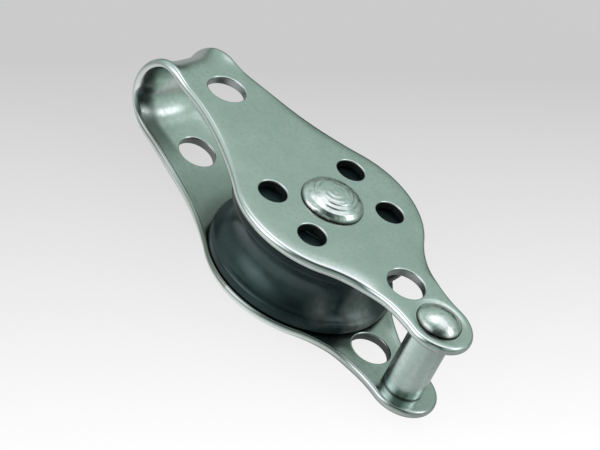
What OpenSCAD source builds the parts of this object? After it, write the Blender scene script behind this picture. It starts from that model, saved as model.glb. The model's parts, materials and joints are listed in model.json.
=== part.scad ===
// Small riveted sailing block with a becket: one bent sheet-steel strap, a moulded sheave on a
// steel bush, a riveted axle, and a sleeve riveted across the far end as the becket post.
// It lies on its side: Z runs along the axle, +X points to the becket, -X to the head eye.
// The origin is on the axle, half way between the two cheeks.

/* [Sheave and rope] */
// Outside diameter of the sheave over its rims
sheave_d = 24.8; // [23:0.2:28]
// Width of the sheave across its rims
sheave_w = 9.4; // [9.2:0.2:12]
// Diameter of the largest rope that lies in the groove
rope_d = 6; // [5:0.5:7]
// Radial room between the rope and the groove
rope_play = 0.5; // [0.1:0.05:0.6]
// Height of the groove's centre circle above the rims
groove_rise = 0.8; // [0.2:0.1:1]
// Diameter of the sheave's hub boss
hub_d = 12; // [10:0.5:13]
// How far the hub stands proud of the rims on each side
hub_proud = 0.15; // [0.05:0.05:0.2]

/* [Axle] */
// Diameter of the axle rivet's shank
axle_d = 5; // [4:0.25:5.5]
// Outside diameter of the bush that the sheave turns on
bush_d = 8; // [7:0.25:8.5]
// Diameter of the axle rivet's heads
axle_head_d = 8.4; // [8:0.2:10]
// Height of the axle rivet's heads
axle_head_h = 1.75; // [1.6:0.05:2]
// Diameter at which the closed head's sloping shoulder ends
shoulder_d = 5.9; // [5.4:0.1:6.6]
// Height at which the closed head's shoulder ends
shoulder_h = 1.15; // [0.8:0.05:1.2]
// Diameter of the flat disc on the closed head
disc_d = 4.8; // [4:0.1:5.2]
// Height of each turned step on the closed head
step_h = 0.12; // [0.05:0.01:0.15]
// Height of the upright edge of every rivet head
head_edge = 0.45; // [0.2:0.05:0.5]

/* [Frame strap] */
// Thickness of the sheet
sheet_t = 1.2; // [0.8:0.1:1.5]
// How far the cheeks reach past the sheave
cheek_over = 0.45; // [0.2:0.05:1]
// Width of the strap at the head
head_w = 10.2; // [9:0.2:12]
// Radius of the hollow curve from the cheek to the head
head_hollow = 45; // [35:1:50]
// Radius of the hollow curve from the cheek to the becket end
neck_hollow = 14.2; // [12:0.2:18]
// Radius of the rounded becket end
end_r = 4.6; // [4.2:0.1:5]

/* [Head eye] */
// Distance from the sheave's rim to the middle of the head bend
eye_reach = 13.6; // [12.4:0.1:16]
// How much narrower the strap is at the eye than at the sheave, on each side
eye_pinch = 0.65; // [0.5:0.05:1.3]
// Angle to which the lips of the bend flare outwards
lip_angle = 28; // [10:1:32]

/* [Holes] */
// Diameter of the pin holes near the head and near the becket
pin_hole_d = 5.1; // [4:0.1:5.5]
// Distance from the sheave's rim to the head pin's axis
head_pin_reach = 9.4; // [8.6:0.1:9.6]
// Diameter of the four lightening holes in each cheek
light_hole_d = 3.8; // [3:0.1:4.2]
// Radius of the circle on which the lightening holes lie
light_hole_r = 8; // [7.2:0.1:8.4]
// Angle of the lightening holes from the block's long axis
light_hole_angle = 60; // [45:1:62]

/* [Becket] */
// Distance from the sheave's rim to the becket post's axis
becket_reach = 9.1; // [8.8:0.1:11]
// Outside diameter of the becket sleeve
sleeve_d = 5.4; // [5:0.1:6.4]
// Diameter of the becket rivet's shank
becket_d = 4; // [3:0.1:4.4]
// Diameter of the becket rivet's round heads
becket_head_d = 6; // [5.6:0.1:8]
// Height of the becket rivet's round heads
becket_head_h = 1.35; // [1:0.05:1.8]

/* [Clearances] */
// Room between the sheave's rim and each cheek
side_play = 0.4; // [0.25:0.05:0.6]
// Radial running clearance of the sheave on its bush
run_fit = 0.05; // [0.02:0.01:0.1]
// Radial clearance of a rivet in its holes and sleeves
rivet_fit = 0.05; // [0.02:0.01:0.1]
// Room between the sheave's rim and a pin that fills the becket-end holes
pin_play = 0.05; // [0.05:0.05:0.4]

/* [Hidden] */

ROUND = 96;
SMALL_ROUND = 48;

steel = "#9fb0a6";
bright_steel = "#c9cfca";
black_plastic = "#20262a";

sheave_r = sheave_d / 2;
gap = sheave_w + 2 * side_play;
cheek_r = sheave_r + cheek_over;
becket_x = sheave_r + becket_reach;
head_pin_x = -(sheave_r + head_pin_reach);
end_pin_x = sheave_r + pin_play + pin_hole_d / 2;

// Hollow curve on the head side: a circle that touches the cheek's round and the strap's straight edge.
hollow_y = head_w / 2 + head_hollow;
hollow_x = sqrt(pow(cheek_r + head_hollow, 2) - pow(hollow_y, 2));

// Hollow curve on the becket side: a circle that touches the cheek's round and the end's round.
neck_x = (pow(cheek_r + neck_hollow, 2) - pow(end_r + neck_hollow, 2) + pow(becket_x, 2)) / (2 * becket_x);
neck_y = sqrt(pow(cheek_r + neck_hollow, 2) - pow(neck_x, 2));

// Side view of the head, along the middle of the sheet: each arm bows inwards on a wide arc from
// the sheave's rim, and the two arcs run into one round bend.
mid_z = (gap + sheet_t) / 2;
eye_mid_r = mid_z - eye_pinch;
eye_x = sheave_r + eye_reach;
bow_r = (pow(eye_reach, 2) / eye_pinch + eye_mid_r + mid_z) / 2;
bow_turn = asin(eye_reach / (bow_r - eye_mid_r));
bow_len = bow_r * bow_turn * PI / 180;
bend_len = eye_mid_r * (180 - 2 * bow_turn) * PI / 180;

// The bend's lips flare over the crown of the eye. Distances run along the sheet from the upper
// end of the bend: where they begin, where they stand out in full, where they ease and where they end.
lip_start = -3;
lip_full = 3;
lip_ease = bend_len / 2;
lip_end = bend_len;
ARM_STEPS = 12;
BEND_STEPS = 26;
ACROSS = 12;
LIP_LEAST = 0.01;

function ramp(v, a, b) = let(t = min(1, max(0, (v - a) / (b - a)))) t * t * (3 - 2 * t);

// Turn of the strap at each station, from 0 on the upper cheek to 180 on the lower one.
TURNS = concat(
    [for (i = [0:ARM_STEPS - 1]) bow_turn * i / ARM_STEPS],
    [for (i = [0:BEND_STEPS]) bow_turn + (180 - 2 * bow_turn) * i / BEND_STEPS],
    [for (i = [1:ARM_STEPS]) 180 - bow_turn + bow_turn * i / ARM_STEPS]
);

// Middle of the sheet at a turn, as x and z.
function side(a) =
    a < bow_turn ? [-sheave_r - bow_r * sin(a), mid_z - bow_r + bow_r * cos(a)]
    : a > 180 - bow_turn ? [-sheave_r - bow_r * sin(a), bow_r - mid_z + bow_r * cos(a)]
    : [-eye_x - eye_mid_r * sin(a), eye_mid_r * cos(a)];

// Length of sheet between the upper end of the bend and a turn, less than nothing on the upper arm.
function along(a) =
    a < bow_turn ? bow_r * (a - bow_turn) * PI / 180
    : a > 180 - bow_turn ? bend_len + bow_r * (a - 180 + bow_turn) * PI / 180
    : eye_mid_r * (a - bow_turn) * PI / 180;

// Length of sheet between the sheave's rim and a turn, along the nearer arm.
function developed(a) = bow_len + along(min(a, 180 - a));

// Half width of the strap at a distance from the axle, measured along the sheet.
function half_width(u) =
    u < hollow_x ? hollow_y - sqrt(pow(head_hollow, 2) - pow(hollow_x - u, 2)) : head_w / 2;

// Angle to which the lips flare at a turn.
function lip(a) =
    LIP_LEAST + lip_angle * ramp(along(a), lip_start, lip_full) * (1 - ramp(along(a), lip_ease, lip_end));

// A point of the sheet: turn a, place v across it from -1 to 1, and height h off its middle.
// Across the strap the sheet follows an arc of as many degrees as its lips flare.
function sheet_point(a, v, h) =
    let(
        w = half_width(sheave_r + developed(a)),
        r = w / (lip(a) * PI / 180),
        across = (r - h) * sin(lip(a) * v),
        out = r - (r - h) * cos(lip(a) * v),
        p = side(a)
    )
    [p[0] - out * sin(a), across, p[1] + out * cos(a)];

// The strap from one sheave rim round the eye to the other, as one closed skin of rings.
module head_bend() {
    ring = concat(
        [for (j = [0:ACROSS]) [2 * j / ACROSS - 1, sheet_t / 2]],
        [for (j = [0:ACROSS]) [1 - 2 * j / ACROSS, -sheet_t / 2]]
    );
    n = len(ring);
    last = len(TURNS) - 1;
    points = [for (a = TURNS) for (q = ring) sheet_point(a, q[0], q[1])];
    sides = [
        for (i = [0:last - 1]) for (j = [0:n - 1])
            let(p = i * n + j, q = i * n + (j + 1) % n)
                each [[p, q + n, q], [p, p + n, q + n]]
    ];
    caps = [
        [for (j = [0:n - 1]) j],
        [for (j = [n - 1:-1:0]) last * n + j]
    ];
    polyhedron(points = points, faces = concat(sides, caps));
}

// Outline of a cheek between the sheave's rim on the head side and the becket end.
module cheek_outline() {
    difference() {
        union() {
            circle(r = cheek_r, $fn = ROUND);
            polygon([[0, 0], [neck_x, neck_y], [becket_x, 0], [neck_x, -neck_y]]);
            polygon([[0, 0], [-hollow_x, hollow_y], [-hollow_x, -hollow_y]]);
        }
        for (s = [-1, 1]) {
            translate([neck_x, s * neck_y])
                circle(r = neck_hollow, $fn = ROUND);
            translate([-hollow_x, s * hollow_y])
                circle(r = head_hollow, $fn = 2 * ROUND);
        }
        translate([-sheave_r - 2 * hollow_x, -hollow_y])
            square([2 * hollow_x, 2 * hollow_y]);
    }
    translate([becket_x, 0])
        circle(r = end_r, $fn = ROUND);
}

module upright_hole(x, y, d) {
    translate([x, y, -gap])
        cylinder(h = 2 * gap, d = d, $fn = SMALL_ROUND);
}

module frame_strap() {
    color(steel)
        difference() {
            union() {
                head_bend();
                translate([0, 0, gap / 2])
                    linear_extrude(sheet_t) cheek_outline();
                translate([0, 0, -gap / 2 - sheet_t])
                    linear_extrude(sheet_t) cheek_outline();
            }
            upright_hole(head_pin_x, 0, pin_hole_d);
            upright_hole(end_pin_x, 0, pin_hole_d);
            upright_hole(0, 0, axle_d + 2 * rivet_fit);
            upright_hole(becket_x, 0, becket_d + 2 * rivet_fit);
            for (a = [light_hole_angle, 180 - light_hole_angle, 180 + light_hole_angle, -light_hole_angle])
                upright_hole(light_hole_r * cos(a), light_hole_r * sin(a), light_hole_d);
        }
}

// Half of the sheave's section, turned about the axle.
module sheave_section() {
    groove_r = rope_d / 2 + rope_play;
    groove_x = sheave_r + groove_rise;
    groove_half = sqrt(pow(groove_r, 2) - pow(groove_rise, 2));
    rim_r = (sheave_w / 2 - groove_half) / 2;
    bore_r = bush_d / 2 + run_fit;
    difference() {
        union() {
            translate([bore_r, -sheave_w / 2])
                square([sheave_r - rim_r - bore_r, sheave_w]);
            translate([bore_r, -sheave_w / 2 - hub_proud])
                square([hub_d / 2 - bore_r, sheave_w + 2 * hub_proud]);
            for (s = [-1, 1])
                translate([sheave_r - rim_r, s * (sheave_w / 2 - rim_r)])
                    circle(r = rim_r, $fn = SMALL_ROUND);
        }
        translate([groove_x, 0])
            circle(r = groove_r, $fn = ROUND);
    }
}

module sheave() {
    color(black_plastic)
        rotate_extrude($fn = ROUND) sheave_section();
}

// A plain tube between the cheeks, which keeps them apart when the rivet is closed.
module spacer_tube(outer_d, inner_d) {
    difference() {
        translate([0, 0, -gap / 2])
            cylinder(h = gap, d = outer_d, $fn = ROUND);
        translate([0, 0, -gap])
            cylinder(h = 2 * gap, d = inner_d, $fn = SMALL_ROUND);
    }
}

module axle_bush() {
    color(bright_steel)
        spacer_tube(bush_d, axle_d + 2 * rivet_fit);
}

// Half of a round rivet head's section: an upright edge, then a low dome.
module dome_section(d, h) {
    rise = h - head_edge;
    ball_r = (pow(d / 2, 2) + pow(rise, 2)) / (2 * rise);
    square([d / 2, head_edge]);
    intersection() {
        translate([0, h - ball_r])
            circle(r = ball_r, $fn = 2 * ROUND);
        square([d / 2, h]);
    }
}

// Half of the axle's closed head: a sloping shoulder with two turned steps round a flat disc.
module stepped_section() {
    polygon([
        [0, 0],
        [axle_head_d / 2, 0],
        [axle_head_d / 2, head_edge],
        [shoulder_d / 2, shoulder_h],
        [shoulder_d / 2, shoulder_h + step_h],
        [disc_d / 2, axle_head_h - step_h],
        [disc_d / 2, axle_head_h],
        [0, axle_head_h]
    ]);
}

module rivet_shank(d) {
    reach = gap / 2 + sheet_t;
    translate([0, 0, -reach])
        cylinder(h = 2 * reach, d = d, $fn = SMALL_ROUND);
}

module axle_rivet() {
    color(bright_steel) {
        rivet_shank(axle_d);
        translate([0, 0, gap / 2 + sheet_t])
            rotate_extrude($fn = ROUND) stepped_section();
        mirror([0, 0, 1])
            translate([0, 0, gap / 2 + sheet_t])
                rotate_extrude($fn = ROUND) dome_section(axle_head_d, axle_head_h);
    }
}

module becket_sleeve() {
    color(steel)
        translate([becket_x, 0, 0])
            spacer_tube(sleeve_d, becket_d + 2 * rivet_fit);
}

module becket_rivet() {
    color(bright_steel)
        translate([becket_x, 0, 0]) {
            rivet_shank(becket_d);
            for (side_up = [0, 1])
                mirror([0, 0, side_up])
                    translate([0, 0, gap / 2 + sheet_t])
                        rotate_extrude($fn = ROUND) dome_section(becket_head_d, becket_head_h);
        }
}

frame_strap();
sheave();
axle_bush();
axle_rivet();
becket_sleeve();
becket_rivet();
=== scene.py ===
"""A small riveted sailing block with a becket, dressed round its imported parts.

One strip of satin stainless sheet is cut as a flat blank and folded: it makes both cheeks and the head
eye between them. A black sheave turns between the cheeks on a riveted axle, and a sleeve riveted across
the far end is the becket post. Lengths in this script are millimetres unless a name says otherwise.
"""

import json
import math

import bpy
import numpy as np
from mathutils import Matrix, Vector


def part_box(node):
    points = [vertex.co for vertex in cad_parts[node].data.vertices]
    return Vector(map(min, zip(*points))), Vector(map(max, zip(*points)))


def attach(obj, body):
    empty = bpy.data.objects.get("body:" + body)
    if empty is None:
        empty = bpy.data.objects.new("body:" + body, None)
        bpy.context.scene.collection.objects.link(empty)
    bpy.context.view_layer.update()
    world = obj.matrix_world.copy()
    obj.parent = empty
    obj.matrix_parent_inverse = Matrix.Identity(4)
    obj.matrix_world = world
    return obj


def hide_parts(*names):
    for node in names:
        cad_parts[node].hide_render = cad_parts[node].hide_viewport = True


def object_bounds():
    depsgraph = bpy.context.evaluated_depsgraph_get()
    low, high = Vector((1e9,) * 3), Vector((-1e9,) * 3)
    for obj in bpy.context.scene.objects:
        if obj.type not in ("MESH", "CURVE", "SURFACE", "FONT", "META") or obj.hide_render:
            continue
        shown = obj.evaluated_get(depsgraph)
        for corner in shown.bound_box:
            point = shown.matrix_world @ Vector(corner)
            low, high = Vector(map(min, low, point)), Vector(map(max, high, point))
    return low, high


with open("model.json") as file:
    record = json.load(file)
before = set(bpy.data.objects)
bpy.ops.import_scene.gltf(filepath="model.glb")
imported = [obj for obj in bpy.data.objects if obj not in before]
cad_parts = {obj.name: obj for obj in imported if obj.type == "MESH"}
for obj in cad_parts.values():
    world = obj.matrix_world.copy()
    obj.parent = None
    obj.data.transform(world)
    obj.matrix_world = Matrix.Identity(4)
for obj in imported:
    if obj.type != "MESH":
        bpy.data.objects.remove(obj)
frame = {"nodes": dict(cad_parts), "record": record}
cad_low, cad_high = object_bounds()

MM = 0.001


def box_mm(node):
    """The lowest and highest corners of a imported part, in millimetres."""
    low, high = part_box(node)
    return np.round(np.array(low) / MM, 3), np.round(np.array(high) / MM, 3)


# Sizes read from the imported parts
_, strap_high = box_mm("frame_strap")
_, sheave_high = box_mm("sheave")
sleeve_low, sleeve_high = box_mm("becket_sleeve")
_, rivet_high = box_mm("becket_rivet")
_, axle_high = box_mm("axle_rivet")
mounts = {m["name"]: m for m in frame["record"]["mounts"]}

SHEAVE_R = sheave_high[0]
HUB_Z = sheave_high[2]
HALF_GAP = sleeve_high[2]
CHEEK_Z = strap_high[2]
SHEET = CHEEK_Z - HALF_GAP
MID_Z = (CHEEK_Z + HALF_GAP) / 2
CHEEK_R = strap_high[1]
BECKET_X = (sleeve_low[0] + sleeve_high[0]) / 2
SLEEVE_R = (sleeve_high[0] - sleeve_low[0]) / 2
END_R = strap_high[0] - BECKET_X
BECKET_HEAD_R = rivet_high[1]
BECKET_HEAD_Z = rivet_high[2]
AXLE_HEAD_R = axle_high[1]
AXLE_HEAD_Z = axle_high[2]
HEAD_PIN_X = mounts["head_pin"]["pos_m"][0] / MM
END_PIN_X = mounts["end_pin"]["pos_m"][0] / MM
PIN_HOLE_R = mounts["head_pin"]["dims"]["r_mm"]

# Outline of the strap
HEAD_HALF = 5.1
HOLLOW_R = 45.0
NECK_R = 14.2
LIGHT_HOLE_R = 1.9
LIGHT_CIRCLE_R = 8.0
LIGHT_ANGLE = math.radians(60)
AXLE_R = 2.5
BECKET_R = 2.0
RIVET_FIT = 0.05

# Side view of the head: each arm bows inwards on a wide arc and runs into the round bend of the eye
EYE_REACH = 13.6
EYE_PINCH = 0.65
EYE_R = MID_Z - EYE_PINCH
EYE_X = SHEAVE_R + EYE_REACH
BOW_R = (EYE_REACH ** 2 / EYE_PINCH + EYE_R + MID_Z) / 2
BOW_TURN = math.asin(EYE_REACH / (BOW_R - EYE_R))
BOW_LENGTH = BOW_R * BOW_TURN
BEND_LENGTH = EYE_R * (math.pi - 2 * BOW_TURN)
CROWN = SHEAVE_R + BOW_LENGTH + BEND_LENGTH / 2

# Lips of the eye: their flare, and where along the sheet from the bend's upper end it comes and goes
LIP_ANGLE = math.radians(43)
LIP_START = -3.0
LIP_FULL = 3.0

# Tumbled edges of the outer and the inner face: how far in from the edge and how deep the rounding goes.
# The holes' edges are eased alike on both faces. Each band is the strip of the mesh that follows an edge,
# the room is what the grid leaves free round a hole's band, and the wall band is how far in the wall's
# painted shade goes.
OUTER_EASE = (0.48, 0.55)
INNER_EASE = (0.5, 0.5)
EDGE_BAND = 0.8
HOLE_EASE = 0.22
HOLE_BAND = 0.34
HOLE_ROOM = 0.12
WALL_BAND = 0.4 * HOLE_EASE

# The eased outline shines by growth * height off the middle / sheet - start, from 0 to 1
SHINE_GROWTH = 2.5
SHINE_START = 0.3

# The press leaves the cheeks a little crowned, with a soft roll along their edges
CHEEK_CROWN = 0.3
ROLL = 0.12
ROLL_WIDTH = 2.2

# Each head of the becket rivet sits in a shallow dimple, and the whole becket end has taken a slight set
# and reaches a little further. The lower arm lies a little lower between the sheave and the head pin.
DIMPLE = 0.14
LOWER_DIMPLE = 0.04
DIMPLE_IN = BECKET_HEAD_R + 0.1
DIMPLE_OUT = BECKET_HEAD_R + 0.8
SINK = 0.1
SET_DEPTH = 0.32
SET_START = 8.0
SET_END = 32.0
END_REACH = 0.2
LOWER_DROP = 0.15

# Shades on the strap's inner faces: their strength along the arms, round the sheave and on one flank of the
# eye, what the becket end loses of the first, and how far the second reaches. The flank's shade starts,
# is full and begins to fade at these distances from where the eye's bend ends.
ARM_SHADE = 0.57
SHEAVE_SHADE = 0.43
FLANK_SHADE = 0.85
END_LIGHTER = 0.45
SHADE_REACH = 3.0
FLANK_ACROSS = (2.0, 3.2)
FLANK_START = -5.0
FLANK_FULL = -1.5
FLANK_FADE = 0.5

# Sheave: its bore and hub, the radius of the rope groove and how far the groove's middle lies outside the
# rim, how far in from the rim the groove meets the lands' rounding, and how deep the lands' dull band is
WHEEL_BORE_R = 4.05
HUB_R = 6.0
HUB_STEP = 0.15
GROOVE_R = 3.5
GROOVE_OUT = 0.8
LAND_IN = 0.62
LAND_DEPTH = 0.05

# Closed head of the axle: its disc, the shoulder's steps as (radius, height above the cheek, easing), and
# the marks of the closing tool
DISC_R = 2.25
DISC_FALL = 0.045
CLOSED_STEPS = (
    (2.37, 1.37, 0.05),
    (2.85, 1.27, 0.1),
    (2.97, 1.09, 0.06),
    (3.5, 0.87, 0.5),
    (3.98, 0.5, 0.4),
)
RIPPLE = 0.011
RIPPLE_PITCH = 0.8
NOTCH = 0.07
NOTCH_WAY = 5.3

# Rounding of the round heads' rims, and the height of the sleeve's dark feet, a painted contact shade with
# some dirt
RIM_EASE = 0.04
SLEEVE_FOOT = 0.4

# Rows and columns of the blank's grid, steps round a turned piece, and how far from the becket hole the
# rows start to bulge, in radii of the becket end
ROWS = 170
COLUMNS = 48
TURN_STEPS = 128
BULGE_START = 1.2


def ramp(value, start, end):
    """A smooth step from 0 at start to 1 at end: t * t * (3 - 2 * t)."""
    t = np.clip((value - start) / (end - start), 0, 1)
    return t * t * (3 - 2 * t)


def touching_centre(first_r, second_x, second_r, bridge_r):
    """Centre of a hollow arc that touches a circle at the origin and a second one at second_x from outside.

    It lies first_r + bridge_r from the origin and second_r + bridge_r from the second circle's centre.
    """
    reach_a = first_r + bridge_r
    reach_b = second_r + bridge_r
    x = (reach_a ** 2 - reach_b ** 2 + second_x ** 2) / (2 * second_x)
    return x, math.sqrt(reach_a ** 2 - x ** 2)


HOLLOW_Y = HEAD_HALF + HOLLOW_R
HOLLOW_X = math.sqrt((CHEEK_R + HOLLOW_R) ** 2 - HOLLOW_Y ** 2)
NECK_X, NECK_Y = touching_centre(CHEEK_R, BECKET_X, END_R, NECK_R)

# Arcs of the edge from the head to the becket end: centre, radius, and 1 where the sheet lies inside
EDGE_ARCS = (
    (-HOLLOW_X, HOLLOW_Y, HOLLOW_R, -1),
    (0.0, 0.0, CHEEK_R, 1),
    (NECK_X, NECK_Y, NECK_R, -1),
    (BECKET_X, 0.0, END_R, 1),
)


def edge_line(x, inset):
    """Half width of the strap at distances x from the axle, and the edge's outward direction there.

    The edge is moved inwards by inset. Each arc keeps its centre, and its radius shrinks by inset where
    the sheet lies inside it and grows where the sheet lies outside. Neighbours meet on their centres' line.
    """
    width = np.full_like(x, HEAD_HALF - inset)
    out_x = np.zeros_like(x)
    out_y = np.ones_like(x)
    start = -HOLLOW_X
    for number, (cx, cy, r, inside) in enumerate(EDGE_ARCS):
        radius = r - inside * inset
        on_arc = x >= start
        rise = np.sqrt(np.clip(radius ** 2 - (x - cx) ** 2, 0, None))
        width = np.where(on_arc, cy + inside * rise, width)
        out_x = np.where(on_arc, inside * (x - cx) / radius, out_x)
        out_y = np.where(on_arc, rise / radius, out_y)
        if number + 1 < len(EDGE_ARCS):
            next_x, next_y = EDGE_ARCS[number + 1][:2]
            apart = math.hypot(next_x - cx, next_y - cy)
            start = cx + (next_x - cx) * radius / apart
    return width, out_x, out_y


def face_grid():
    """The grid of a flat blank's face: length along the sheet from the crown of the eye, and place across.

    Row i lies at a distance from the axle and column j at a share v of the half width. Towards a becket
    end the rows bulge by a share q = (sqrt(1 - (v c) ** 2) - c) / (1 - c), with c = sqrt(1 / 2), so that
    the last row is the arc of the rounded end between its corners.
    """
    end_r = END_R - EDGE_BAND
    corner = math.sqrt(0.5)
    last = BECKET_X + end_r * corner
    x = np.linspace(-CROWN, last, ROWS)
    v = np.linspace(-1, 1, COLUMNS + 1)
    width, _, _ = edge_line(x, EDGE_BAND)
    bulge = end_r * (1 - corner) * ramp(x, BECKET_X - BULGE_START * END_R, last)
    q = (np.sqrt(1 - (v * corner) ** 2) - corner) / (1 - corner)
    length = CROWN + x[:, None] + bulge[:, None] * q[None, :]
    across = width[:, None] * v[None, :]
    return np.vstack([-length[::-1], length[1:]]), np.vstack([across[::-1], across[1:]])


def sheet_distance(x):
    """Distance from the axle along the sheet of a point at x on the bowed arm.

    From the sheave's rim on it is the bow's arc, radius * asin((-x - sheave radius) / radius).
    """
    return -(SHEAVE_R + BOW_R * math.asin((-x - SHEAVE_R) / BOW_R))


def strap_holes():
    """Each hole of the blank as (length along the sheet, place across it, radius)."""
    holes = [
        (sheet_distance(HEAD_PIN_X), 0.0, PIN_HOLE_R),
        (END_PIN_X, 0.0, PIN_HOLE_R),
        (0.0, 0.0, AXLE_R + RIVET_FIT),
        (BECKET_X, 0.0, BECKET_R + RIVET_FIT),
    ]
    for angle in (LIGHT_ANGLE, math.pi - LIGHT_ANGLE, math.pi + LIGHT_ANGLE, -LIGHT_ANGLE):
        holes.append((LIGHT_CIRCLE_R * math.cos(angle), LIGHT_CIRCLE_R * math.sin(angle), LIGHT_HOLE_R))
    return [(side * (CROWN + x), y, r) for side in (1, -1) for x, y, r in holes]


def eased_edge(band, over, under):
    """Section of an edge as (inset, height off the sheet's middle), from the outer face to the inner one.

    Each corner is a quarter ellipse, inset = reach * (1 - sin t) and height = half - depth * (1 - cos t).
    """
    t = np.linspace(0, math.pi / 2, 7)
    upper = np.column_stack([over[0] * (1 - np.sin(t)), SHEET / 2 - over[1] * (1 - np.cos(t))])
    lower = np.column_stack([under[0] * (1 - np.sin(t)), under[1] * (1 - np.cos(t)) - SHEET / 2])
    return np.vstack([[band, SHEET / 2], upper, lower[::-1], [band, -SHEET / 2]])


def ring_quads(rings, inwards):
    """Faces between closed rings of point numbers, one row each. inwards turns them to face the axis."""
    after = np.roll(rings, -1, axis=1)
    corners = [rings[:-1], rings[1:], after[1:], after[:-1]]
    if inwards:
        corners = [rings[:-1], after[:-1], after[1:], rings[1:]]
    return np.stack(corners, -1).reshape(-1, 4)


def block_border(top, bottom, left, right):
    """Rows and columns of the grid points round a block, counterclockwise with rows to the right."""
    rows = np.arange(top, bottom + 1)
    columns = np.arange(left, right + 1)
    along_rows = np.ones(len(rows) - 1, int)
    along_columns = np.ones(len(columns) - 1, int)
    i = np.concatenate([rows[:-1], bottom * along_columns, rows[:0:-1], top * along_columns])
    j = np.concatenate([left * along_rows, columns[:-1], right * along_rows, columns[:0:-1]])
    return i, j


def blank_mesh():
    """The flat blank as points (length, across, height, cut, shine) and four-sided faces.

    Both faces are one grid. Round each hole a block of cells gives way to rings that pass from the
    block's border to the hole's circle, and the eased section is carried round the hole and the outline.
    Cut is 1 on the punched walls of the small holes and 0.5 on those of the others, and fades with
    max(0, 1 - inset / wall band); it paints shade on the walls and makes them matt. Shine is 1 on the eased
    corners. Both are 0 elsewhere.
    """
    length, across = face_grid()
    rows, columns = length.shape
    flat = np.column_stack([length.ravel(), across.ravel()])
    over = np.arange(rows * columns).reshape(rows, columns)
    under = over + rows * columns
    none = np.zeros(len(flat))
    points = [np.column_stack([flat, none + h, none, none]) for h in (SHEET / 2, -SHEET / 2)]
    count = 2 * rows * columns
    kept = np.ones((rows - 1, columns - 1), bool)
    quads = []

    def carried(first, last, places, levels, inwards):
        """Adds rings of new points between two rings that exist, and the faces between them all.

        Each row of levels is the height, the cut and the shine of one ring.
        """
        nonlocal count
        numbers = count + np.arange(places.shape[0] * places.shape[1]).reshape(places.shape[:2])
        count += numbers.size
        spread = np.broadcast_to(levels[:, None, :], places.shape[:2] + (3,))
        points.append(np.concatenate([places, spread], -1).reshape(-1, 5))
        quads.append(ring_quads(np.vstack([first, numbers, last]), inwards))

    hole_edge = eased_edge(HOLE_BAND, (HOLE_EASE, HOLE_EASE), (HOLE_EASE, HOLE_EASE))[1:-1]
    fade = np.linspace(0, 1, 5)[1:]
    flat_rings = np.ones(len(fade))
    for hole_length, hole_across, r in strap_holes():
        reach = r + HOLE_BAND + HOLE_ROOM
        near = (np.abs(length - hole_length) < reach) & (np.abs(across - hole_across) < reach)
        block_rows = np.flatnonzero(near.any(1))
        block_columns = np.flatnonzero(near.any(0))
        top, bottom = block_rows[0] - 1, block_rows[-1] + 1
        left, right = block_columns[0] - 1, block_columns[-1] + 1
        kept[top:bottom, left:right] = False
        i, j = block_border(top, bottom, left, right)
        border = np.column_stack([length[i, j], across[i, j]])
        centre = np.array([hole_length, hole_across])
        way = (border - centre) / np.linalg.norm(border - centre, axis=1)[:, None]
        band = centre + (r + HOLE_BAND) * way
        outer_rings = border[None] + fade[:, None, None] * (band - border)[None]
        wall = centre + (r + hole_edge[:, 0])[:, None, None] * way[None]
        places = np.concatenate([outer_rings, wall, outer_rings[::-1]])
        heights = np.concatenate([flat_rings * SHEET / 2, hole_edge[:, 1], -flat_rings * SHEET / 2])
        inset = np.concatenate([flat_rings * HOLE_BAND, hole_edge[:, 0], flat_rings * HOLE_BAND])
        # Painted shade on the hole walls: full on the small holes, half on the others.
        wall_shade = 1 if r == LIGHT_HOLE_R else 0.5
        cut = wall_shade * (1 - np.clip(inset / WALL_BAND, 0, 1))
        shine = inset < HOLE_BAND
        carried(over[i, j], under[i, j], places, np.column_stack([heights, cut, shine]), True)

    i, j = block_border(0, rows - 1, 0, columns - 1)
    border = np.column_stack([length[i, j], across[i, j]])
    distance = np.abs(border[:, 0]) - CROWN
    _, out_x, out_y = edge_line(distance, EDGE_BAND)
    sides = np.column_stack([out_x * np.sign(border[:, 0]), out_y * np.sign(border[:, 1])])
    from_post = np.column_stack([border[:, 0] - np.sign(border[:, 0]) * (CROWN + BECKET_X), border[:, 1]])
    from_post /= np.linalg.norm(from_post, axis=1)[:, None]
    on_end = (i == 0) | (i == rows - 1)
    out = np.where(on_end[:, None], from_post, sides)
    edge = eased_edge(EDGE_BAND, OUTER_EASE, INNER_EASE)[1:-1]
    places = border[None] + (EDGE_BAND - edge[:, 0])[:, None, None] * out[None]
    shine = np.clip(SHINE_GROWTH * np.abs(edge[:, 1]) / SHEET - SHINE_START, 0, 1)
    levels = np.column_stack([edge[:, 1], np.zeros(len(edge)), shine])
    carried(over[i, j], under[i, j], places, levels, False)

    for grid, outer_face in ((over, True), (under, False)):
        cells = [grid[:-1, :-1], grid[1:, :-1], grid[1:, 1:], grid[:-1, 1:]]
        face = np.stack(cells if outer_face else cells[::-1], -1)
        quads.append(face[kept])
    return np.vstack(points), np.vstack(quads)


def pressed(distance, across, dimple):
    """How far the press moved the sheet inwards.

    The cheeks' crown grows with the cube of the place across. The roll is depth * (1 - d / width) ** 2
    at a distance d from the edge, and a dimple of a given depth lies round the becket rivet.
    """
    width, _, out_y = edge_line(np.minimum(distance, BECKET_X), 0)
    share = ramp(distance, HEAD_PIN_X, -CHEEK_R) * (1 - ramp(distance, CHEEK_R, BECKET_X - END_R))
    crown = CHEEK_CROWN * share * np.abs(across / width) ** 3
    from_post = np.hypot(distance - BECKET_X, across)
    from_side = (width - np.abs(across)) * out_y
    from_edge = np.where(distance > BECKET_X, END_R - from_post, from_side)
    roll = ROLL * np.clip(1 - from_edge / ROLL_WIDTH, 0, 1) ** 2
    return crown + roll + dimple * (1 - ramp(from_post, DIMPLE_IN, DIMPLE_OUT))


def end_set(x):
    """How far the becket end has bent down at a distance x from the axle, both cheeks alike."""
    return SET_DEPTH * ramp(x, SET_START, SET_END)


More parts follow.
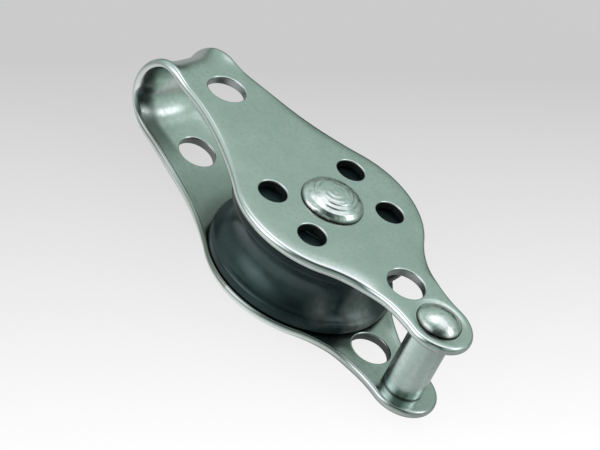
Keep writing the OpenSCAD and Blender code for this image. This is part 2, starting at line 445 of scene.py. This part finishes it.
def fold(points):
    """Folds the flat blank round the eye.

    The middle line turns by (distance from the crown) / radius, first on the bend and then on the bowed
    arm. Across the strap the sheet tilts by L v |v| at a share v of the half width w, so its lips stand
    out by w (L v^3 / 3 - L^3 v^7 / 42) and reach across by w (v - L^2 v^5 / 10), the integrals of the
    tilt's sine and cosine. A point off the sheet's middle leans over by the tilt. Lengths below 0 are the
    lower arm, which is the upper one turned over, with its own dimple and drop.
    """
    length, across, height = points[:, :3].T
    lower = length < 0
    run = np.abs(length)
    distance = run - CROWN
    height = height - pressed(distance, across, np.where(lower, LOWER_DIMPLE, DIMPLE))
    in_bend = run < BEND_LENGTH / 2
    bend_turn = math.pi / 2 - run / EYE_R
    bow_turn = np.clip(BOW_TURN - (run - BEND_LENGTH / 2) / BOW_R, 0, None)
    turn = np.where(in_bend, bend_turn, bow_turn)
    bow_x = -SHEAVE_R - BOW_R * np.sin(turn)
    flat_x = np.where(distance > -SHEAVE_R, distance, bow_x)
    x = np.where(in_bend, -EYE_X - EYE_R * np.sin(turn), flat_x)
    z = np.where(in_bend, EYE_R * np.cos(turn), MID_Z - BOW_R + BOW_R * np.cos(turn))
    from_start = BEND_LENGTH / 2 - length
    flare = ramp(from_start, LIP_START, LIP_FULL) * (1 - ramp(from_start, BEND_LENGTH / 2, BEND_LENGTH))
    lip = LIP_ANGLE * flare
    width, _, _ = edge_line(np.minimum(distance, 0), 0)
    v = np.abs(across / width)
    tilt = lip * v * v
    reach = across - width * np.sign(across) * lip ** 2 * v ** 5 / 10
    y = reach - height * np.sin(tilt) * np.sign(across)
    out = width * (lip * v ** 3 / 3 - lip ** 3 * v ** 7 / 42) + height * np.cos(tilt)
    x = x - out * np.sin(turn)
    z = np.where(lower, -1, 1) * (z + out * np.cos(turn)) - end_set(x)
    z = z - LOWER_DROP * lower * ramp(-x, SHEAVE_R, -HEAD_PIN_X) * (1 - ramp(-x, EYE_X, CROWN))
    x = x + END_REACH * ramp(x, END_PIN_X + PIN_HOLE_R, BECKET_X + END_R)
    return np.column_stack([x, y, z])


def used_only(points, faces):
    """Drops the points that no face uses, and numbers the faces' corners anew."""
    used, corners = np.unique(faces, return_inverse=True)
    return points[used], corners.reshape(faces.shape)


def mesh_piece(name, points, faces, body, material, node):
    """Makes a smooth piece from points in millimetres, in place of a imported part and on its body."""
    mesh = bpy.data.meshes.new(name)
    mesh.from_pydata((points * MM).tolist(), [], [list(face) for face in faces])
    mesh.polygons.foreach_set("use_smooth", np.ones(len(mesh.polygons), bool))
    mesh.materials.append(material)
    mesh.update()
    piece = bpy.data.objects.new(name, mesh)
    bpy.context.scene.collection.objects.link(piece)
    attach(piece, body)
    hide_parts(node)
    return piece


def mark_points(piece, name, values):
    """Gives each point of a piece a number that its material reads by this name."""
    piece.data.attributes.new(name, "FLOAT", "POINT").data.foreach_set("value", values)


def rounded(corners, steps):
    """An outline of (radius, height, easing) corners, each replaced by an arc of that radius.

    The arc touches both sides of the corner at easing / tan(half the corner's angle) from it, and turns
    from one touching point to the other by (first * sin((1 - t) s) + last * sin(t s)) / sin s.
    """
    outline = []
    for number, (x, z, easing) in enumerate(corners):
        here = np.array([x, z])
        if easing == 0:
            outline.append(here)
            continue
        before = np.array(corners[number - 1][:2]) - here
        after = np.array(corners[(number + 1) % len(corners)][:2]) - here
        before /= np.linalg.norm(before)
        after /= np.linalg.norm(after)
        half = math.acos(np.clip(before @ after, -1, 1)) / 2
        centre = here + (before + after) / np.linalg.norm(before + after) * easing / math.sin(half)
        first = here + before * easing / math.tan(half) - centre
        last = here + after * easing / math.tan(half) - centre
        sweep = math.acos(np.clip(first @ last / easing ** 2, -1, 1))
        for t in np.linspace(0, 1, steps):
            turning = first * math.sin((1 - t) * sweep) + last * math.sin(t * sweep)
            outline.append(centre + turning / math.sin(sweep))
    return np.array(outline)


def arc(centre_r, centre_z, radius, start, end, steps):
    """Points (centre + radius * cos a, centre + radius * sin a) for a from start to end degrees."""
    a = np.radians(np.linspace(start, end, steps))
    return np.column_stack([centre_r + radius * np.cos(a), centre_z + radius * np.sin(a)])


def turned(outline, centre_x=0.0, change=None, rise=0.0):
    """Carries an outline of (radius, height) round an upright axis: (r cos a, r sin a, z + rise).

    An outline that starts and ends on the axis is closed there by fans, any other closes on itself.
    change may move each point by its radius, height and angle, as a hammer mark does.
    """
    poles = outline[0, 0] < 1e-6
    ring = outline[1:-1] if poles else outline
    a = np.linspace(0, 2 * math.pi, TURN_STEPS, endpoint=False)
    r = np.repeat(ring[:, 0:1], TURN_STEPS, 1)
    z = np.repeat(ring[:, 1:2], TURN_STEPS, 1)
    if change is not None:
        r, z = change(r, z, a[None, :])
    z = z + rise
    points = np.stack([centre_x + r * np.cos(a), r * np.sin(a), z], -1).reshape(-1, 3)
    numbers = np.arange(len(points)).reshape(r.shape)
    if not poles:
        return points, ring_quads(np.vstack([numbers, numbers[:1]]), False).tolist()
    ends = [[centre_x, 0.0, outline[0, 1] + rise], [centre_x, 0.0, outline[-1, 1] + rise]]
    points = np.vstack([points, ends])
    top, bottom = len(points) - 2, len(points) - 1
    first, last = numbers[0], numbers[-1]
    faces = ring_quads(numbers, False).tolist()
    faces += np.column_stack([np.full(TURN_STEPS, top), first, np.roll(first, -1)]).tolist()
    faces += np.column_stack([np.full(TURN_STEPS, bottom), np.roll(last, -1), last]).tolist()
    return points, faces


class Paint:
    """A finish with its patterns on Object coordinates."""

    def __init__(self, name, metallic):
        """A new material, whose shader takes the patterns."""
        self.material = bpy.data.materials.new(name)
        self.material.use_nodes = True
        self.tree = self.material.node_tree
        self.shader = self.tree.nodes["Principled BSDF"]
        self.shader.inputs["Metallic"].default_value = metallic
        self.place = self.tree.nodes.new("ShaderNodeTexCoord").outputs["Object"]

    def node(self, kind, **inputs):
        """A new node with some of its inputs set or linked."""
        made = self.tree.nodes.new(kind)
        for key, value in inputs.items():
            socket = made.inputs[key.replace("_", " ")]
            if isinstance(value, bpy.types.NodeSocket):
                self.tree.links.new(value, socket)
            else:
                socket.default_value = value
        return made

    def noise(self, scale, detail=3.0, stretch=(1, 1, 1)):
        """Noise with so many cells a metre, from 0 to 1."""
        place = self.node("ShaderNodeMapping", Vector=self.place, Scale=stretch).outputs[0]
        return self.node("ShaderNodeTexNoise", Vector=place, Scale=scale, Detail=detail).outputs["Fac"]

    def mark(self, name):
        """The value of one of the piece's own attributes."""
        made = self.tree.nodes.new("ShaderNodeAttribute")
        made.attribute_name = name
        return made.outputs["Fac"]

    def between(self, value, low, high, from_low=0.3, from_high=0.7):
        """The value's range from_low to from_high, laid over low to high."""
        made = self.node("ShaderNodeMapRange", Value=value)
        limits = (from_low, from_high, low, high)
        for key, limit in zip(("From Min", "From Max", "To Min", "To Max"), limits):
            made.inputs[key].default_value = limit
        return made.outputs[0]

    def blend(self, value, first, second):
        """A colour between two colours, each three numbers or a pattern."""
        made = self.tree.nodes.new("ShaderNodeMix")
        made.data_type = "RGBA"
        self.tree.links.new(value, made.inputs["Factor"])
        for socket, colour in ((made.inputs["A"], first), (made.inputs["B"], second)):
            if isinstance(colour, bpy.types.NodeSocket):
                self.tree.links.new(colour, socket)
            else:
                socket.default_value = (*colour, 1)
        return made.outputs["Result"]

    def mix_values(self, value, first, second):
        """A number between two numbers."""
        made = self.tree.nodes.new("ShaderNodeMix")
        for key, end in (("Factor", value), ("A", first), ("B", second)):
            if isinstance(end, bpy.types.NodeSocket):
                self.tree.links.new(end, made.inputs[key])
            else:
                made.inputs[key].default_value = end
        return made.outputs["Result"]

    def bump(self, height, depth, strength, under=None):
        """A bump of a height pattern, laid over another."""
        made = self.node("ShaderNodeBump", Height=height, Distance=depth * MM, Strength=strength)
        if under is not None:
            self.tree.links.new(under, made.inputs["Normal"])
        return made.outputs[0]

    def distance(self, place, metres):
        """How far a place is from another, which is given in metres."""
        made = self.node("ShaderNodeVectorMath", Vector=place)
        made.operation = "DISTANCE"
        made.inputs[1].default_value = metres
        return made.outputs["Value"]

    def set(self, socket, value):
        """Links or sets one of the shader's own sockets."""
        target = self.shader.inputs[socket]
        if isinstance(value, bpy.types.NodeSocket):
            self.tree.links.new(value, target)
        else:
            target.default_value = value


def satin_sheet():
    """Tumbled stainless sheet: slow waves, soft mottling and a fine peened grain.

    The eased corners are brighter, and the punched walls, which the tumbling hardly reaches, are matt and
    carry a painted shade. The inner faces carry a painted shade where the sheave and the eye shade them.
    """
    paint = Paint("satin_sheet", 1.0)
    cloud = paint.noise(240, 2)
    mottle = paint.noise(1900, 3)
    grain = paint.noise(4200, 2)
    sheet = paint.blend(paint.between(cloud, 0, 1), (0.57, 0.65, 0.618), (0.655, 0.725, 0.70))
    flecked = paint.blend(paint.between(mottle, 0, 0.6, 0.45, 0.75), sheet, (0.47, 0.545, 0.515))
    shine = paint.mark("shine")
    eased = paint.blend(shine, flecked, (0.64, 0.69, 0.685))
    # Painted shade on the inner faces: along the arms, round the sheave and beside the eye.
    shaded_inside = paint.blend(paint.mark("inner"), eased, (0.20, 0.225, 0.205))
    cut = paint.mark("cut")
    # Painted shade on the punched walls of the holes.
    paint.set("Base Color", paint.blend(cut, shaded_inside, (0.10, 0.115, 0.11)))
    smooth = paint.mix_values(shine, paint.between(mottle, 0.20, 0.27), 0.15)
    paint.set("Roughness", paint.mix_values(paint.between(cut, 0, 1, 0, 0.5), smooth, 0.45))
    fine = paint.bump(grain, 0.01, 0.3)
    paint.set("Normal", paint.bump(paint.noise(330, 1), 0.12, 0.14, fine))
    return paint.material


def drawn_tube():
    """Drawn stainless tube: faint lines along it, soft bands, handling marks, and a dark band at its feet,
    painted contact shade with some dirt.
    """
    paint = Paint("drawn_tube", 1.0)
    lines = paint.noise(2600, 3, (1, 1, 0.06))
    bands = paint.noise(420, 1, (1, 1, 0.12))
    marks = paint.noise(1500, 3)
    tone = paint.blend(paint.between(bands, 0, 1, 0.35, 0.65), (0.46, 0.57, 0.535), (0.60, 0.72, 0.69))
    marked = paint.blend(paint.between(marks, 0, 0.45, 0.45, 0.7), tone, (0.40, 0.46, 0.42))
    # Painted contact shade at the tube's feet, with some dirt.
    paint.set("Base Color", paint.blend(paint.mark("crevice"), marked, (0.07, 0.06, 0.05)))
    paint.set("Roughness", paint.between(lines, 0.24, 0.28))
    paint.set("Normal", paint.bump(lines, 0.004, 0.25))
    return paint.material


def closed_rivet():
    """Rivet steel, polished by the closing tool: faint dents, uneven shine, and a dark band at the heads'
    feet, painted contact shade with some dirt.
    """
    paint = Paint("closed_rivet", 1.0)
    dents = paint.noise(560, 2)
    speck = paint.noise(1500, 3)
    bright = paint.blend(paint.between(speck, 0, 1), (0.60, 0.67, 0.645), (0.72, 0.765, 0.75))
    # Painted contact shade at the heads' feet, with some dirt.
    paint.set("Base Color", paint.blend(paint.mark("crevice"), bright, (0.05, 0.045, 0.04)))
    paint.set("Roughness", paint.between(speck, 0.16, 0.30))
    paint.set("Normal", paint.bump(dents, 0.3, 0.35, paint.bump(speck, 0.02, 0.25)))
    return paint.material


# Painted highlights on the sheave, in place of the lamps' reflections: where, how far each reaches, and its
# colour
PAINTED_HIGHLIGHTS = (
    ((11.4, -0.3, -3.0), 3.4, (0.45, 0.48, 0.46)),
    ((9.2, -5.6, -2.4), 2.4, (0.14, 0.16, 0.15)),
    ((1.5, -10.6, -1.6), 5.5, (0.035, 0.065, 0.062)),
)


def black_sheave():
    """Black moulded plastic, half gloss, with painted highlights in a few patches and dull rims.

    Each patch has the strength max(0, 1 - distance / reach), broken up by streaks.
    """
    paint = Paint("black_sheave", 0.0)
    cloud = paint.noise(300, 3)
    speck = paint.noise(2600, 3)
    streak = paint.noise(700, 3)
    colour = paint.blend(paint.between(cloud, 0, 1), (0.008, 0.014, 0.016), (0.018, 0.031, 0.033))
    # Each patch paints a highlight onto the base colour.
    for place, reach, highlight_colour in PAINTED_HIGHLIGHTS:
        away = paint.distance(paint.place, Vector(place) * MM)
        highlight_strength = paint.node("ShaderNodeMath", Value=paint.between(away, 1, 0, 0, reach * MM))
        highlight_strength.operation = "MULTIPLY"
        paint.tree.links.new(paint.between(streak, 0.5, 1, 0.35, 0.65), highlight_strength.inputs[1])
        colour = paint.blend(highlight_strength.outputs[0], colour, highlight_colour)
    paint.set("Base Color", colour)
    paint.set("Specular IOR Level", paint.mix_values(paint.mark("rim"), 0.5, 0.12))
    paint.set("Roughness", paint.between(cloud, 0.20, 0.30))
    paint.set("Specular Tint", (0.72, 1.0, 0.97, 1))
    paint.set("Normal", paint.bump(speck, 0.008, 0.2))
    return paint.material


def dome(radius, edge_z, top_z, steps):
    """Half a round head from its middle to its edge: z = top - ball + sqrt(ball ** 2 - r ** 2).

    The ball's radius, (radius ** 2 + rise ** 2) / (2 * rise), takes the circle through middle and edge.
    """
    rise = top_z - edge_z
    ball = (radius ** 2 + rise ** 2) / (2 * rise)
    r = radius * np.linspace(0, 1, steps)
    return np.column_stack([r, top_z - ball + np.sqrt(ball ** 2 - r ** 2)])


def round_head(radius, foot_z, rim, top_z, shank_r, steps):
    """Half a round rivet head from its top to the shank: its dome, its side with eased corners, its foot.

    rim is how far the dome's edge lies in from the radius and up from the foot.
    """
    edge_in, edge_up = rim
    edge_z = foot_z + edge_up
    side = [(radius, edge_z - RIM_EASE), (radius, edge_z - edge_up / 2), (radius - RIM_EASE, foot_z)]
    return np.vstack([dome(radius - edge_in, edge_z, top_z, steps), side, (shank_r, foot_z)])


def inner_shade(length, across, height):
    """How dark the strap's inner faces are, from 0 on the outer ones.

    A sum of three shades: along both arms, strongest at the sheave, close round the head side of the
    sheave, and along one edge of the lower arm beside the eye.
    """
    distance = np.abs(length) - CROWN
    arm = ramp(distance, HEAD_PIN_X - PIN_HOLE_R, -CHEEK_R)
    arm = arm * (1 - END_LIGHTER * ramp(distance, SHEAVE_R - SHADE_REACH, END_PIN_X))
    from_sheave = np.hypot(distance, across) - SHEAVE_R
    beside_sheave = (distance < 0) * (1 - ramp(from_sheave, 0, SHADE_REACH))
    flank = ramp(-across, *FLANK_ACROSS) * ramp(distance, FLANK_START - EYE_X, FLANK_FULL - EYE_X)
    flank = (length < 0) * flank * (1 - ramp(distance, FLANK_FADE - EYE_X, HEAD_PIN_X + PIN_HOLE_R))
    return (height < 0) * (ARM_SHADE * arm + SHEAVE_SHADE * beside_sheave + FLANK_SHADE * flank)


def build_strap():
    """The bent strap: the flat blank, folded, with its punched walls, bright corners and shades marked."""
    points, quads = used_only(*blank_mesh())
    strap = mesh_piece("strap", fold(points), quads, "frame", satin_sheet(), "frame_strap")
    length, across, height, cut, shine = points.T
    mark_points(strap, "cut", cut)
    mark_points(strap, "shine", shine)
    mark_points(strap, "inner", inner_shade(length, across, height))


def build_sheave():
    """The sheave: a round groove between two lands with eased corners, and a raised hub.

    The upper half of its outline is mirrored to the lower one. "rim" marks the lands.
    """
    groove_x = SHEAVE_R + GROOVE_OUT
    groove = arc(groove_x, 0, GROOVE_R, 96, 180, 40)
    groove = groove[groove[:, 0] < SHEAVE_R - LAND_IN]
    lip_z = math.sqrt(GROOVE_R ** 2 - GROOVE_OUT ** 2)
    face_z = HUB_Z - HUB_STEP
    corners = [
        (WHEEL_BORE_R, 0, 0), (WHEEL_BORE_R, HUB_Z, 0.2), (HUB_R, HUB_Z, 0.06), (HUB_R + 0.1, face_z, 0.05),
        (SHEAVE_R, face_z, 0.25), (SHEAVE_R, lip_z, 0.6), (*groove[0], 0),
    ]
    upper = np.vstack([rounded(corners, 8)[1:-1], groove])
    lower = upper[-2::-1] * [1, -1]
    points, faces = turned(np.vstack([upper, lower]))
    wheel = mesh_piece("sheave_wheel", points, faces, "wheel", black_sheave(), "sheave")
    radius = np.hypot(points[:, 0], points[:, 1])
    mark_points(wheel, "rim", (radius > SHEAVE_R - LAND_DEPTH).astype(float))


def closing_marks(r, z, a):
    """Marks of the closing tool on the axle's upper head.

    The disc has a spiral ripple cos(2 pi r / pitch + a), the shoulder shallow flats, and the rim wanders,
    with a few notches on one side. Flats and wander are sums of sines round the head.
    """
    top = z > CHEEK_Z
    rim = ramp(r, 2.6, 4.2) * top
    wander = 0.02 * np.sin(3 * a + 0.6) + 0.012 * np.sin(7 * a + 2.0) + 0.007 * np.sin(13 * a)
    bitten = ramp(np.cos(a - NOTCH_WAY), 0.75, 1.0) * np.sin(11 * a) ** 2
    notches = NOTCH * bitten * ramp(r, 3.95, 4.15) * top
    flats = 0.03 * np.sin(5 * a + 1.0) + 0.02 * np.sin(9 * a + 0.4)
    on_disc = ramp(r, 0.2, 0.8) * (1 - ramp(r, 1.9, DISC_R)) * top
    ripple = RIPPLE * (1 + 0.5 * np.sin(a + 2)) * np.cos(2 * math.pi * r / RIPPLE_PITCH + a) * on_disc
    return r + rim * wander - notches, z + ripple + rim * flats * ramp(z, CHEEK_Z + 0.2, CHEEK_Z + 0.6)


def mark_crevice(piece, points, foot_z, rise, depth):
    """Marks a rivet's heads' feet for painted shade and some dirt: 1 up to 0.4 of the depth, and 0 at the
    depth.
    """
    height = np.abs(points[:, 2] - rise) - foot_z
    mark_points(piece, "crevice", 1 - ramp(height, 0.4 * depth, depth))


def build_axle_rivet(steel):
    """The axle rivet: a stepped, closed head above, its shank, and a plain round head below.

    The closed head's disc falls off by fall * r ** 2, and its shoulder passes through the closed steps.
    """
    z = CHEEK_Z
    disc_r = np.linspace(0, DISC_R, 24)
    disc = np.column_stack([disc_r, AXLE_HEAD_Z - DISC_FALL * disc_r ** 2])
    corners = [(*disc[-1], 0)] + [(r, z + up, easing) for r, up, easing in CLOSED_STEPS]
    corners += [(AXLE_HEAD_R, z + 0.12, 0.08), (AXLE_HEAD_R - 0.08, z, 0), (AXLE_R, z, 0)]
    under = round_head(AXLE_HEAD_R, z, (0.1, 0.2), AXLE_HEAD_Z, AXLE_R, 12)
    outline = np.vstack([disc, rounded(corners, 6)[1:], under[::-1] * [1, -1]])
    points, faces = turned(outline, 0, closing_marks)
    piece = mesh_piece("axle_pin", points, faces, "frame", steel, "axle_rivet")
    mark_crevice(piece, points, z, 0, 0.32)


def build_becket_rivet(steel):
    """The becket rivet, with a round head at each end, a little sunk into the dimples."""
    z = CHEEK_Z - SINK
    head = round_head(BECKET_HEAD_R, z, (0.05, 0.14), BECKET_HEAD_Z - SINK, BECKET_R, 14)
    outline = np.vstack([head, head[::-1] * [1, -1]])
    rise = -end_set(BECKET_X)
    points, faces = turned(outline, BECKET_X, None, rise)
    piece = mesh_piece("becket_pin", points, faces, "frame", steel, "becket_rivet")
    mark_crevice(piece, points, z, rise, 0.26)


def build_becket_sleeve():
    """The becket sleeve, a tube with eased ends. "crevice" marks its feet for a painted contact shade with
    some dirt.
    """
    bore = BECKET_R + RIVET_FIT
    foot_z = HALF_GAP - SLEEVE_FOOT
    outline = rounded([
        (bore, HALF_GAP, 0.1), (SLEEVE_R, HALF_GAP, 0.05), (SLEEVE_R, foot_z, 0), (SLEEVE_R, -foot_z, 0),
        (SLEEVE_R, -HALF_GAP, 0.05), (bore, -HALF_GAP, 0.1),
    ], 5)
    rise = -end_set(BECKET_X)
    points, faces = turned(outline, BECKET_X, None, rise)
    piece = mesh_piece("becket_post", points, faces, "frame", drawn_tube(), "becket_sleeve")
    # Painted contact shade at the sleeve's feet, with some dirt.
    mark_points(piece, "crevice", 1 - ramp(np.abs(points[:, 2] - rise), HALF_GAP, foot_z))


# Camera, as the photograph's viewing angle and framing
CAMERA_PLACE = (160.21, -257.10, 224.31)
CAMERA_TARGET = (-2.571, -0.089, -0.2)
CAMERA_ROLL = math.radians(27.39)
CAMERA_LENS = 180.0
CAMERA_SENSOR = 36.0
CAMERA_CLIP = 10.0


def build_camera():
    """A long lens that looks down on the block, rolled so that the block lies across the picture."""
    data = bpy.data.cameras.new("camera")
    data.lens = CAMERA_LENS
    data.sensor_width = CAMERA_SENSOR
    data.clip_start = CAMERA_CLIP * MM
    camera = bpy.data.objects.new("camera", data)
    place = Vector(CAMERA_PLACE) * MM
    sight = Vector(CAMERA_TARGET) * MM - place
    turn = sight.to_track_quat("-Z", "Y").to_matrix().to_4x4()
    camera.matrix_world = Matrix.Translation(place) @ turn @ Matrix.Rotation(CAMERA_ROLL, 4, "Z")
    bpy.context.scene.collection.objects.link(camera)
    bpy.context.scene.camera = camera


# Floor: its half width, the way it darkens over the span on both sides of the block, its levels there,
# and its level further away, where it has evened out between two distances. The backdrop meets it.
FLOOR_Z = cad_low.z / MM
FLOOR_HALF = 6000.0
FLOOR_WAY = math.radians(163.4)
FLOOR_SPAN = 41.0
FLOOR_NEAR = 1.01
FLOOR_FAR = 0.535
FLOOR_AWAY = 0.74
FLOOR_EVEN = (90.0, 600.0)
BACKDROP = 0.785

# What the block's reflections see of the floor: a pool of light of one level that fades to another
# between two distances, and the block's own shade, an ellipse with a soft edge in shares of its size
POOL_PLACE = (-5.0, -25.0)
POOL_LEVEL = 0.98
POOL_AWAY = 0.35
POOL_FADE = (15.0, 55.0)
SHADE_SIZE = (27.0, 8.0)
SHADE_LEVEL = 0.85
SHADE_EDGE = (0.75, 1.25)


def build_floor():
    """A plain pale floor that lightens across the picture and evens out away from the block.

    In reflections it is a pool of light beside the block, with shade under the block. From below the
    floor is clear, so that the underside can be looked at.
    """
    mesh = bpy.data.meshes.new("floor")
    corners = np.array([(-1, -1, 0), (1, -1, 0), (1, 1, 0), (-1, 1, 0)]) * FLOOR_HALF + (0, 0, FLOOR_Z)
    mesh.from_pydata((corners * MM).tolist(), [], [(0, 1, 2, 3)])
    floor = bpy.data.objects.new("floor", mesh)
    bpy.context.scene.collection.objects.link(floor)
    paint = Paint("floor_paint", 0.0)
    tree = paint.tree
    along = paint.node("ShaderNodeMapping", Vector=paint.place, Rotation=(0, 0, -FLOOR_WAY)).outputs[0]
    across_picture = paint.node("ShaderNodeSeparateXYZ", Vector=along).outputs["X"]
    near = paint.between(across_picture, FLOOR_NEAR, FLOOR_FAR, -FLOOR_SPAN * MM, FLOOR_SPAN * MM)
    from_block = paint.distance(paint.place, (0, 0, 0))
    even = paint.between(from_block, 0, 1, *[reach * MM for reach in FLOOR_EVEN])
    seen = paint.mix_values(even, near, FLOOR_AWAY)
    from_pool = paint.distance(paint.place, Vector((*POOL_PLACE, FLOOR_Z)) * MM)
    glow = paint.between(from_pool, POOL_LEVEL, POOL_AWAY, *[reach * MM for reach in POOL_FADE])
    shares = (*[1 / (size * MM) for size in SHADE_SIZE], 0)
    under = paint.node("ShaderNodeMapping", Vector=paint.place, Scale=shares).outputs[0]
    covered = paint.between(paint.distance(under, (0, 0, 0)), SHADE_LEVEL, 0, *SHADE_EDGE)
    reflected = paint.mix_values(covered, glow, 0.0)
    camera_ray = tree.nodes.new("ShaderNodeLightPath").outputs["Is Camera Ray"]
    paint.set("Base Color", (0.08, 0.08, 0.08, 1))
    paint.set("Roughness", 0.9)
    paint.set("Specular IOR Level", 0.0)
    # The floor glows by its own emission: its level paints the light's fall-off across the picture, and in
    # reflections a pool of light with the block's shadow.
    paint.set("Emission Color", (1.0, 1.0, 0.995, 1))
    paint.set("Emission Strength", paint.mix_values(camera_ray, reflected, seen))
    clear = tree.nodes.new("ShaderNodeBsdfTransparent")
    side = tree.nodes.new("ShaderNodeNewGeometry").outputs["Backfacing"]
    sheet = tree.nodes.new("ShaderNodeMixShader")
    tree.links.new(side, sheet.inputs[0])
    tree.links.new(paint.shader.outputs[0], sheet.inputs[1])
    tree.links.new(clear.outputs[0], sheet.inputs[2])
    tree.links.new(sheet.outputs[0], tree.nodes["Material Output"].inputs["Surface"])
    mesh.materials.append(paint.material)


# Light of the studio by direction: way, angles inside and outside the soft edge in degrees, and how
# much it adds. The last three are dark gaps.
SOFT_LIGHTS = (
    ((-0.04, 0.25, 0.97), 5, 33, 0.80),
    ((0.456, 0.524, 0.719), 2, 15, 2.30),
    ((-0.45, 0.07, 0.89), 6, 22, 0.75),
    ((-0.22, -0.76, 0.61), 6, 30, 1.15),
    ((-0.41, -0.88, 0.225), 8, 32, 0.95),
    ((-0.88, -0.32, 0.34), 10, 36, 0.28),
    ((0.68, 0.68, 0.24), 8, 30, 0.24),
    ((0.68, -0.68, 0.20), 6, 24, 0.45),
    ((0.30, -0.10, 0.95), 8, 24, -0.55),
    ((0.60, -0.54, 0.59), 16, 40, -0.42),
    ((-0.43, 0.88, 0.02), 8, 24, -0.25),
)

# The room itself: the heights between which it passes from its low to its high level, the levels between
# which light turns from the room's colour to the lamps' colour, and the least and most light
ROOM_RISE = (0.03, 0.50)
ROOM_LEVELS = (0.22, 0.56)
WHITE_LEVELS = (0.65, 1.3)
ROOM_COLOUR = (0.78, 1.0, 0.90, 1)
LAMP_COLOUR = (1.03, 1.0, 1.05, 1)
LIGHT_LIMITS = (0.05, 3.0)


def build_studio():
    """A soft studio: a green-grey room, dark at the horizon, with broad soft lights and three dark gaps.

    Each light adds level * smoothstep of the dot product of its way and the ray, from the cosine of its
    outer angle to that of its inner one. Brighter light is whiter. The camera sees a plain backdrop.
    """
    world = bpy.data.worlds.new("studio")
    world.use_nodes = True
    bpy.context.scene.world = world
    tree = world.node_tree
    way = tree.nodes.new("ShaderNodeTexCoord").outputs["Generated"]

    def laid(value, limits, kind="SMOOTHSTEP"):
        """The value's range laid over another: from low, from high, to low, to high."""
        made = tree.nodes.new("ShaderNodeMapRange")
        made.interpolation_type = kind
        tree.links.new(value, made.inputs["Value"])
        for key, limit in zip(("From Min", "From Max", "To Min", "To Max"), limits):
            made.inputs[key].default_value = limit
        return made.outputs["Result"]

    def added(first, second):
        """The sum of two values."""
        made = tree.nodes.new("ShaderNodeMath")
        tree.links.new(first, made.inputs[0])
        tree.links.new(second, made.inputs[1])
        return made.outputs[0]

    split = tree.nodes.new("ShaderNodeSeparateXYZ")
    tree.links.new(way, split.inputs[0])
    light = laid(split.outputs["Z"], (*ROOM_RISE, *ROOM_LEVELS))
    for direction, inner, outer, level in SOFT_LIGHTS:
        dot = tree.nodes.new("ShaderNodeVectorMath")
        dot.operation = "DOT_PRODUCT"
        tree.links.new(way, dot.inputs[0])
        dot.inputs[1].default_value = Vector(direction).normalized()
        limits = (math.cos(math.radians(outer)), math.cos(math.radians(inner)), 0, level)
        light = added(light, laid(dot.outputs["Value"], limits))
    tint = tree.nodes.new("ShaderNodeMix")
    tint.data_type = "RGBA"
    tree.links.new(laid(light, (*WHITE_LEVELS, 0, 1), "LINEAR"), tint.inputs["Factor"])
    tint.inputs["A"].default_value = ROOM_COLOUR
    tint.inputs["B"].default_value = LAMP_COLOUR
    room = tree.nodes["Background"]
    tree.links.new(tint.outputs["Result"], room.inputs["Color"])
    tree.links.new(laid(light, (*LIGHT_LIMITS, *LIGHT_LIMITS), "LINEAR"), room.inputs["Strength"])
    seen = tree.nodes.new("ShaderNodeBackground")
    seen.inputs["Color"].default_value = (BACKDROP, BACKDROP, BACKDROP, 1)
    mix = tree.nodes.new("ShaderNodeMixShader")
    tree.links.new(tree.nodes.new("ShaderNodeLightPath").outputs["Is Camera Ray"], mix.inputs[0])
    tree.links.new(room.outputs[0], mix.inputs[1])
    tree.links.new(seen.outputs[0], mix.inputs[2])
    tree.links.new(mix.outputs[0], tree.nodes["World Output"].inputs["Surface"])


bpy.context.scene.view_settings.view_transform = "Standard"
build_camera()
build_floor()
build_studio()

rivet_steel = closed_rivet()
build_strap()
build_sheave()
build_axle_rivet(rivet_steel)
build_becket_rivet(rivet_steel)
build_becket_sleeve()
bush_slots = frame["nodes"]["axle_bush"].data.materials
for number in range(len(bush_slots)):
    bush_slots[number] = rivet_steel
